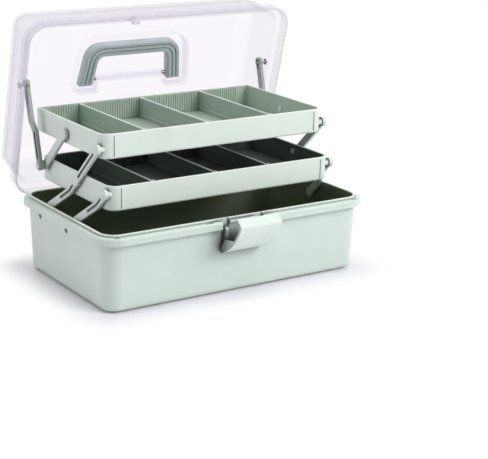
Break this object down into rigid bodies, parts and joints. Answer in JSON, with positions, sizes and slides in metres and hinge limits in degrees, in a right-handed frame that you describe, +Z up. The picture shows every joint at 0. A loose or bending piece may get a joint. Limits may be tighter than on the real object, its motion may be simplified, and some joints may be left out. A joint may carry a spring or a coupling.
{
  "type": "cantilever art supply box",
  "caption": "Portable plastic art supply box with a clear hinged lid, folding handle, front latch and divided trays that rise on side links as the lid opens.",
  "frame": {"origin": "centre of the base underside", "axes": "+X to the right along the long side, -Y to the front where the latch is, +Z up"},
  "size_m": [0.326, 0.2982, 0.2713],
  "materials": {
    "base_plastic": "satin mint green",
    "tray_plastic": "satin grey green",
    "link_plastic": "satin grey green",
    "handle_plastic": "satin grey green",
    "latch_plastic": "satin mint green",
    "clear_plastic": "clear moulded plastic, faintly frosted",
    "steel_pin": "plain"
  },
  "bodies": {
    "base": {"base_shell": "base_plastic", "base_pivot_pins": "link_plastic", "lid_hinge_pins": "steel_pin", "latch_pins": "steel_pin"},
    "lid": {"lid_shell": "clear_plastic", "lid_link_pins": "link_plastic"},
    "handle": {"carry_handle": "handle_plastic", "handle_pins": "steel_pin"},
    "latch": {"front_latch": "latch_plastic"},
    "lower_tray_set": {"lower_tray": "tray_plastic", "lower_tray_pins": "link_plastic", "lower_divider_1": "tray_plastic", "lower_divider_2": "tray_plastic", "lower_divider_3": "tray_plastic"},
    "upper_tray_set": {"upper_tray": "tray_plastic", "upper_tray_pins": "link_plastic", "upper_divider_1": "tray_plastic", "upper_divider_2": "tray_plastic", "upper_divider_3": "tray_plastic"},
    "front_link_left_arm": {"front_link_left": "link_plastic"},
    "front_link_right_arm": {"front_link_right": "link_plastic"},
    "long_link_left_arm": {"long_link_left": "link_plastic"},
    "long_link_right_arm": {"long_link_right": "link_plastic"},
    "upper_rear_link_left_arm": {"upper_rear_link_left": "link_plastic"},
    "upper_rear_link_right_arm": {"upper_rear_link_right": "link_plastic"},
    "lid_link_left_arm": {"lid_link_left": "link_plastic"},
    "lid_link_right_arm": {"lid_link_right": "link_plastic"}
  },
  "joints": [
    {"name": "lid_hinge", "type": "hinge", "parent": "base", "child": "lid", "pos_m": [0, 0.09875, 0.0735], "axis": [1, 0, 0], "range_deg": [0, 76]},
    {"name": "handle_fold", "type": "hinge", "parent": "lid", "child": "handle", "pos_m": [0, 0.14222, 0.18848], "axis": [-1, 0, 0], "range_deg": [0, 90]},
    {"name": "latch_flip", "type": "hinge", "parent": "base", "child": "latch", "pos_m": [0, -0.09775, 0.0535], "axis": [-1, 0, 0], "range_deg": [0, 40.03]},
    {"name": "long_link_left_pivot", "type": "hinge", "parent": "base", "child": "long_link_left_arm", "pos_m": [-0.1504, 0.054, 0.067], "axis": [1, 0, 0], "range_deg": [0, 25.41]},
    {"name": "front_link_left_pivot", "type": "hinge", "parent": "base", "child": "front_link_left_arm", "pos_m": [-0.1504, -0.006, 0.067], "axis": [1, 0, 0], "range_deg": [0, 25.41]},
    {"name": "long_link_right_pivot", "type": "hinge", "parent": "base", "child": "long_link_right_arm", "pos_m": [0.1504, 0.054, 0.067], "axis": [1, 0, 0], "range_deg": [0, 25.41]},
    {"name": "front_link_right_pivot", "type": "hinge", "parent": "base", "child": "front_link_right_arm", "pos_m": [0.1504, -0.006, 0.067], "axis": [1, 0, 0], "range_deg": [0, 25.41]},
    {"name": "lower_tray_pivot", "type": "hinge", "parent": "long_link_left_arm", "child": "lower_tray_set", "pos_m": [0, 0.00416, 0.11413], "axis": [1, 0, 0], "range_deg": [-25.41, 0]},
    {"name": "upper_tray_pivot", "type": "hinge", "parent": "long_link_left_arm", "child": "upper_tray_set", "pos_m": [0, -0.04089, 0.15673], "axis": [1, 0, 0], "range_deg": [-25.41, 0]},
    {"name": "upper_rear_link_left_pivot", "type": "hinge", "parent": "lower_tray_set", "child": "upper_rear_link_left_arm", "pos_m": [-0.137, 0.07596, 0.11513], "axis": [1, 0, 0], "range_deg": [0, 25.41]},
    {"name": "lid_link_left_pivot", "type": "hinge", "parent": "lower_tray_set", "child": "lid_link_left_arm", "pos_m": [-0.1436, 0.07596, 0.11513], "axis": [1, 0, 0], "range_deg": [0, 95.38]},
    {"name": "upper_rear_link_right_pivot", "type": "hinge", "parent": "lower_tray_set", "child": "upper_rear_link_right_arm", "pos_m": [0.137, 0.07596, 0.11513], "axis": [1, 0, 0], "range_deg": [0, 25.41]},
    {"name": "lid_link_right_pivot", "type": "hinge", "parent": "lower_tray_set", "child": "lid_link_right_arm", "pos_m": [0.1436, 0.07596, 0.11513], "axis": [1, 0, 0], "range_deg": [0, 95.38]}
  ],
  "couplings": [
    {"joint": "long_link_left_pivot", "follows": "lid_hinge", "ratio": 0.33421},
    {"joint": "front_link_left_pivot", "follows": "lid_hinge", "ratio": 0.33421},
    {"joint": "long_link_right_pivot", "follows": "lid_hinge", "ratio": 0.33421},
    {"joint": "front_link_right_pivot", "follows": "lid_hinge", "ratio": 0.33421},
    {"joint": "lower_tray_pivot", "follows": "lid_hinge", "ratio": -0.33421},
    {"joint": "upper_tray_pivot", "follows": "lid_hinge", "ratio": -0.33421},
    {"joint": "upper_rear_link_left_pivot", "follows": "lid_hinge", "ratio": 0.33421},
    {"joint": "lid_link_left_pivot", "follows": "lid_hinge", "ratio": 1.2549},
    {"joint": "upper_rear_link_right_pivot", "follows": "lid_hinge", "ratio": 0.33421},
    {"joint": "lid_link_right_pivot", "follows": "lid_hinge", "ratio": 1.2549}
  ]
}
